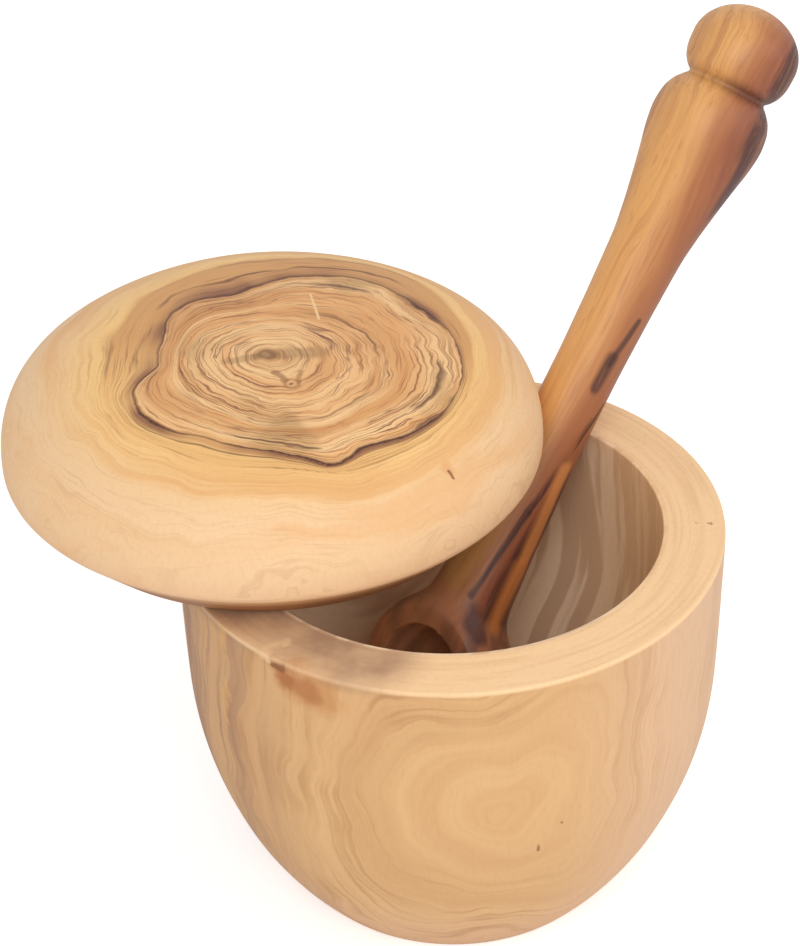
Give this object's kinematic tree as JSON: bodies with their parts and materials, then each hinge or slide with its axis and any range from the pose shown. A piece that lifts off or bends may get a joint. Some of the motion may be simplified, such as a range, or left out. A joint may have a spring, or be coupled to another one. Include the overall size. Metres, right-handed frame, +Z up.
{
  "type": "salt box",
  "caption": "Turned wooden salt pot with a domed lid that swings aside on a hidden vertical pin, and a ball-ended salt spoon standing in it.",
  "frame": {"origin": "middle of the pot's flat foot, on the table", "axes": "+Z up along the pot's turning axis, +Y towards the swivel pin at the back of the rim, +X to the right seen from the front"},
  "size_m": [0.1336, 0.1062, 0.1348],
  "materials": {
    "pot_wood": "satin oiled olive wood",
    "lid_wood": "satin oiled olive wood",
    "spoon_wood": "satin oiled olive wood",
    "pin_steel": "brushed"
  },
  "bodies": {
    "pot_body": {"pot": "pot_wood", "pivot_pin": "pin_steel"},
    "lid_body": {"lid": "lid_wood"},
    "spoon_body": {"spoon": "spoon_wood"}
  },
  "joints": [
    {"name": "lid_turn", "type": "hinge", "parent": "pot_body", "child": "lid_body", "pos_m": [0, 0.038, 0.0682], "axis": [0, 0, -1], "range_deg": [0, 309.6]},
    {"name": "spoon_lift", "type": "slide", "parent": "pot_body", "child": "spoon_body", "axis": [0.4972, 0.0523, 0.866], "range_m": [0, 0.2202]}
  ],
  "couplings": [
    {"joint": "spoon_lift", "follows": "lid_turn", "m_per_rad": 0.04075}
  ]
}
